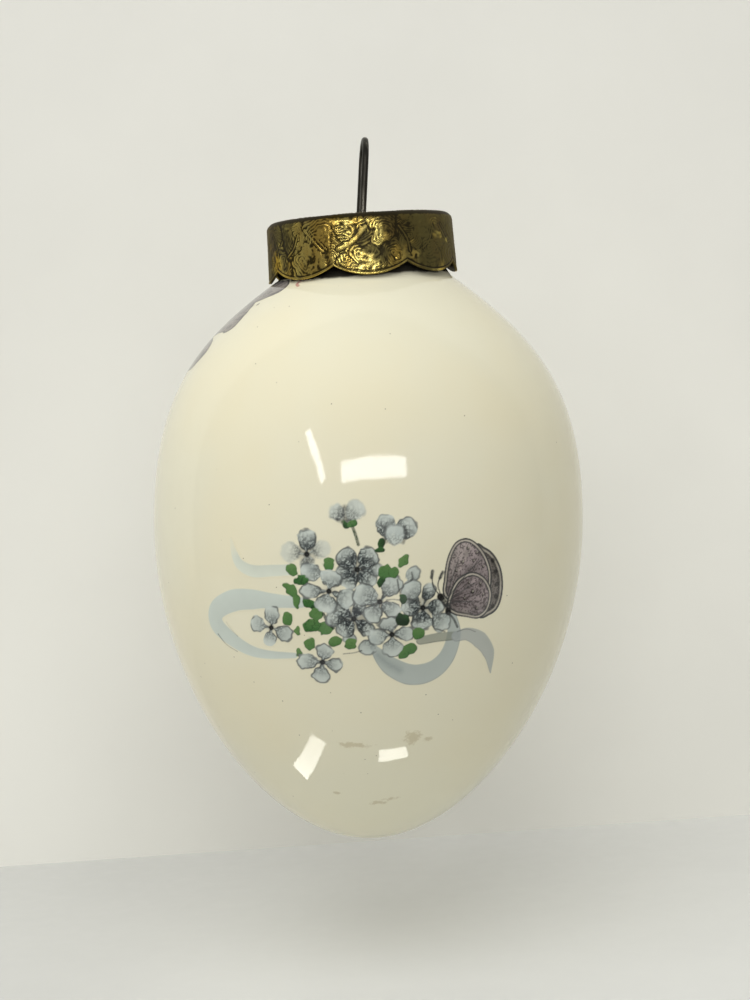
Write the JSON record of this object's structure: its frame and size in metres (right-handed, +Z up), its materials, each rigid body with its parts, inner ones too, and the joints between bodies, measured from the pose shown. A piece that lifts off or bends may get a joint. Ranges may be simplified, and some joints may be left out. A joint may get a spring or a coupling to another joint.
{
  "type": "hanging egg ornament",
  "caption": "Hollow glazed ceramic egg with a printed flower and butterfly decal, a scalloped embossed brass cap and a wire hanging loop.",
  "frame": {"origin": "the point inside the wire loop's crown that a hook bears on", "axes": "+Z up along the egg's long axis, from the pointed tip to the cap; -Y towards the flower decal; +X to the right of someone facing the decal"},
  "size_m": [0.0654, 0.0656, 0.107],
  "materials": {
    "glaze": "gloss cream glaze",
    "front_print": "fired transfer print in blue-grey, green and mauve",
    "side_print": "fired transfer print in lilac-grey",
    "cap_brass": "embossed and darkened with age",
    "hanger_wire": "dark oxidised spring wire"
  },
  "bodies": {
    "hanger": {"hanger": "hanger_wire"},
    "cap": {"cap": "cap_brass"},
    "egg": {"egg_shell": "glaze", "front_decal": "front_print", "side_decal": "side_print"}
  },
  "joints": [
    {"name": "cap_rock", "type": "hinge", "parent": "hanger", "child": "cap", "pos_m": [-0.00053, -0.00004, -0.01129], "axis": [-0.0785, 0.9969, 0], "range_deg": [-3.5, 15]},
    {"name": "egg_pull", "type": "slide", "parent": "cap", "child": "egg", "axis": [0, 0, -1], "range_m": [0, 0.018]}
  ]
}
